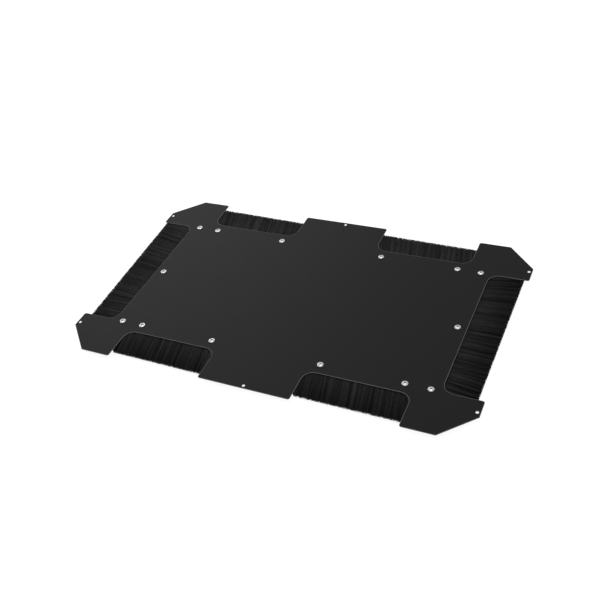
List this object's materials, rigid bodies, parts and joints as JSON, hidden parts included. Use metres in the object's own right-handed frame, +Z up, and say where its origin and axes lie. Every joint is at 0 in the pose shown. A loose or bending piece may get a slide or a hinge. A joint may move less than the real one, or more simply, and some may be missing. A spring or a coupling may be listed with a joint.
{
  "type": "rack brush strip panel",
  "caption": "Flat black rack panel with cut corners and cable notches around its rim, each closed by the bristles of a strip brush bolted on underneath.",
  "frame": {"origin": "middle of the sheet's underside, which is the middle of the mounting hole pattern", "axes": "+X along the panel's long sides, +Y to the back long side, +Z up out of the sheet's top, where the screw heads are"},
  "size_m": [0.975, 0.596, 0.023],
  "materials": {
    "sheet_powder_coat": "fine satin black powder coat on steel sheet",
    "rail_aluminium": "extruded, satin",
    "backing_zinc": "zinc coated steel strip, folded and crimped",
    "core_wire_steel": "drawn wire",
    "bristle_nylon": "black nylon filaments",
    "screw_plated": "bright plated steel",
    "nut_zinc": "zinc plated steel"
  },
  "bodies": {
    "root": {"base_plate": "sheet_powder_coat", "back_left_rail": "rail_aluminium", "back_left_backing": "backing_zinc", "back_left_core_wire": "core_wire_steel", "back_left_bristles": "bristle_nylon", "back_right_rail": "rail_aluminium", "back_right_backing": "backing_zinc", "back_right_core_wire": "core_wire_steel", "back_right_bristles": "bristle_nylon", "front_left_rail": "rail_aluminium", "front_left_backing": "backing_zinc", "front_left_core_wire": "core_wire_steel", "front_left_bristles": "bristle_nylon", "front_right_rail": "rail_aluminium", "front_right_backing": "backing_zinc", "front_right_core_wire": "core_wire_steel", "front_right_bristles": "bristle_nylon", "left_rail": "rail_aluminium", "left_backing": "backing_zinc", "left_core_wire": "core_wire_steel", "left_bristles": "bristle_nylon", "right_rail": "rail_aluminium", "right_backing": "backing_zinc", "right_core_wire": "core_wire_steel", "right_bristles": "bristle_nylon", "back_left_screw_1": "screw_plated", "back_left_screw_2": "screw_plated", "back_left_nut_1": "nut_zinc", "back_left_nut_2": "nut_zinc", "back_right_screw_1": "screw_plated", "back_right_screw_2": "screw_plated", "back_right_nut_1": "nut_zinc", "back_right_nut_2": "nut_zinc", "front_left_screw_1": "screw_plated", "front_left_screw_2": "screw_plated", "front_left_nut_1": "nut_zinc", "front_left_nut_2": "nut_zinc", "front_right_screw_1": "screw_plated", "front_right_screw_2": "screw_plated", "front_right_nut_1": "nut_zinc", "front_right_nut_2": "nut_zinc", "left_screw_1": "screw_plated", "left_screw_2": "screw_plated", "left_screw_3": "screw_plated", "left_nut_1": "nut_zinc", "left_nut_2": "nut_zinc", "left_nut_3": "nut_zinc", "right_screw_1": "screw_plated", "right_screw_2": "screw_plated", "right_screw_3": "screw_plated", "right_nut_1": "nut_zinc", "right_nut_2": "nut_zinc", "right_nut_3": "nut_zinc"}
  },
  "joints": []
}
